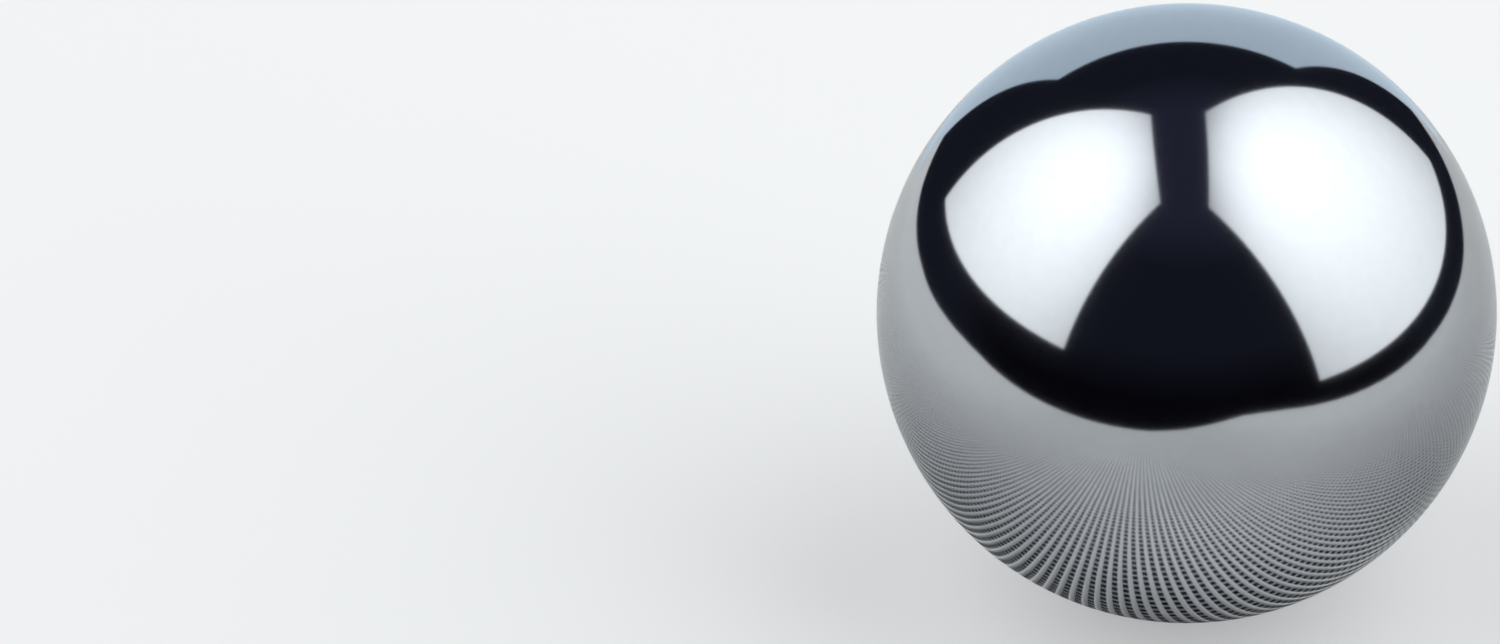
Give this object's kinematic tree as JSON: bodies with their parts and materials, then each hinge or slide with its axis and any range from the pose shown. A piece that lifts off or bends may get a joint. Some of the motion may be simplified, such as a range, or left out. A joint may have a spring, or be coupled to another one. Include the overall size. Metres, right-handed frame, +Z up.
{
  "type": "tungsten carbide ball",
  "caption": "Solid sphere of cemented tungsten carbide, ground and lapped to a mirror finish, for seats, gauges and hard rolling contacts.",
  "frame": {"origin": "centre of the ball", "axes": "+Z up, a diameter of the ball; -Z runs to the point where it touches its seat. X and Y are free, because the ball is the same all round"},
  "size_m": [0.0254, 0.0254, 0.0254],
  "materials": {
    "lapped_carbide": "mirror-lapped cemented tungsten carbide, cool grey"
  },
  "bodies": {
    "root": {"ball": "lapped_carbide"}
  },
  "joints": []
}
